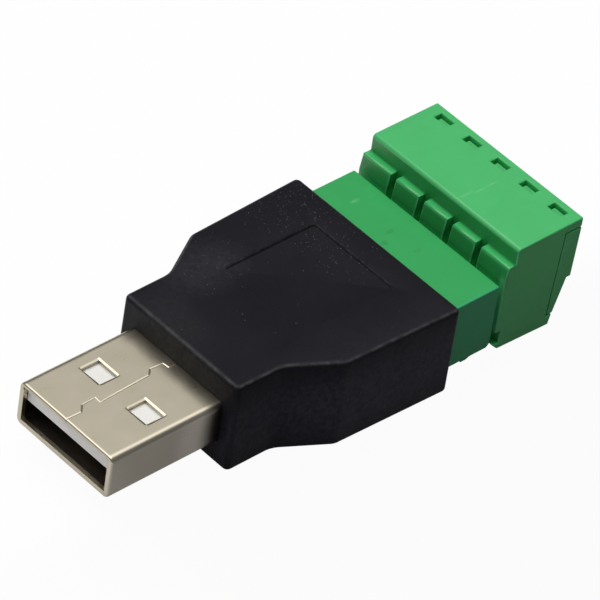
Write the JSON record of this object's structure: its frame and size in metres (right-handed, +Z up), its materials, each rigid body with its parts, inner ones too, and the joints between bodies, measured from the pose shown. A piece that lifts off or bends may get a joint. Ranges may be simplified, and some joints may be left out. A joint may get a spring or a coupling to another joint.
{
  "type": "usb terminal block adapter",
  "caption": "USB type A plug in a black flared housing, with a green pluggable screw terminal block for bare wires at its back.",
  "frame": {"origin": "under the middle of the adapter, on the surface that the housing lies on", "axes": "+X from the mouth of the USB plug to the wire entries, +Z up from the housing's underside"},
  "size_m": [0.0528, 0.0222, 0.0121],
  "materials": {
    "shell": "bright nickel plate",
    "insulator": "satin",
    "contact": "gold plate",
    "housing": "fine matte grain",
    "board": "solder mask",
    "terminal": "satin",
    "pin": "tin plate",
    "fork": "bare brass, tin flashed",
    "cage": "zinc plate",
    "screw": "zinc plate"
  },
  "bodies": {
    "adapter": {"usb_shell": "shell", "usb_insulator": "insulator", "usb_contact_1": "contact", "usb_contact_2": "contact", "usb_contact_3": "contact", "usb_contact_4": "contact", "housing": "housing", "circuit_board": "board", "header": "terminal", "header_pin_1": "pin", "header_pin_2": "pin", "header_pin_3": "pin", "header_pin_4": "pin", "header_pin_5": "pin"},
    "plug": {"plug_body": "terminal", "plug_rear_cover": "terminal", "plug_contact_1": "fork", "plug_contact_2": "fork", "plug_contact_3": "fork", "plug_contact_4": "fork", "plug_contact_5": "fork"},
    "screw_1": {"terminal_screw_1": "screw"},
    "cage_1": {"wire_cage_1": "cage"},
    "screw_2": {"terminal_screw_2": "screw"},
    "cage_2": {"wire_cage_2": "cage"},
    "screw_3": {"terminal_screw_3": "screw"},
    "cage_3": {"wire_cage_3": "cage"},
    "screw_4": {"terminal_screw_4": "screw"},
    "cage_4": {"wire_cage_4": "cage"},
    "screw_5": {"terminal_screw_5": "screw"},
    "cage_5": {"wire_cage_5": "cage"}
  },
  "joints": [
    {"name": "plug_slide", "type": "slide", "parent": "adapter", "child": "plug", "axis": [1, 0, 0], "range_m": [0, 0.012]},
    {"name": "screw_1_turn", "type": "hinge", "parent": "plug", "child": "screw_1", "pos_m": [0.02133, -0.00762, 0.00153], "axis": [0, 0, 1], "range_deg": [0, 1810]},
    {"name": "cage_1_lift", "type": "slide", "parent": "plug", "child": "cage_1", "axis": [0, 0, -1], "range_m": [0, 0.002]},
    {"name": "screw_2_turn", "type": "hinge", "parent": "plug", "child": "screw_2", "pos_m": [0.02133, -0.00381, 0.00153], "axis": [0, 0, 1], "range_deg": [0, 1810]},
    {"name": "cage_2_lift", "type": "slide", "parent": "plug", "child": "cage_2", "axis": [0, 0, -1], "range_m": [0, 0.002]},
    {"name": "screw_3_turn", "type": "hinge", "parent": "plug", "child": "screw_3", "pos_m": [0.02133, 0, 0.00153], "axis": [0, 0, 1], "range_deg": [0, 1810]},
    {"name": "cage_3_lift", "type": "slide", "parent": "plug", "child": "cage_3", "axis": [0, 0, -1], "range_m": [0, 0.002]},
    {"name": "screw_4_turn", "type": "hinge", "parent": "plug", "child": "screw_4", "pos_m": [0.02133, 0.00381, 0.00153], "axis": [0, 0, 1], "range_deg": [0, 1810]},
    {"name": "cage_4_lift", "type": "slide", "parent": "plug", "child": "cage_4", "axis": [0, 0, -1], "range_m": [0, 0.002]},
    {"name": "screw_5_turn", "type": "hinge", "parent": "plug", "child": "screw_5", "pos_m": [0.02133, 0.00762, 0.00153], "axis": [0, 0, 1], "range_deg": [0, 1810]},
    {"name": "cage_5_lift", "type": "slide", "parent": "plug", "child": "cage_5", "axis": [0, 0, -1], "range_m": [0, 0.002]}
  ],
  "couplings": [
    {"joint": "screw_1_turn", "follows": "cage_1_lift", "rad_per_m": 15708},
    {"joint": "screw_2_turn", "follows": "cage_2_lift", "rad_per_m": 15708},
    {"joint": "screw_3_turn", "follows": "cage_3_lift", "rad_per_m": 15708},
    {"joint": "screw_4_turn", "follows": "cage_4_lift", "rad_per_m": 15708},
    {"joint": "screw_5_turn", "follows": "cage_5_lift", "rad_per_m": 15708}
  ]
}
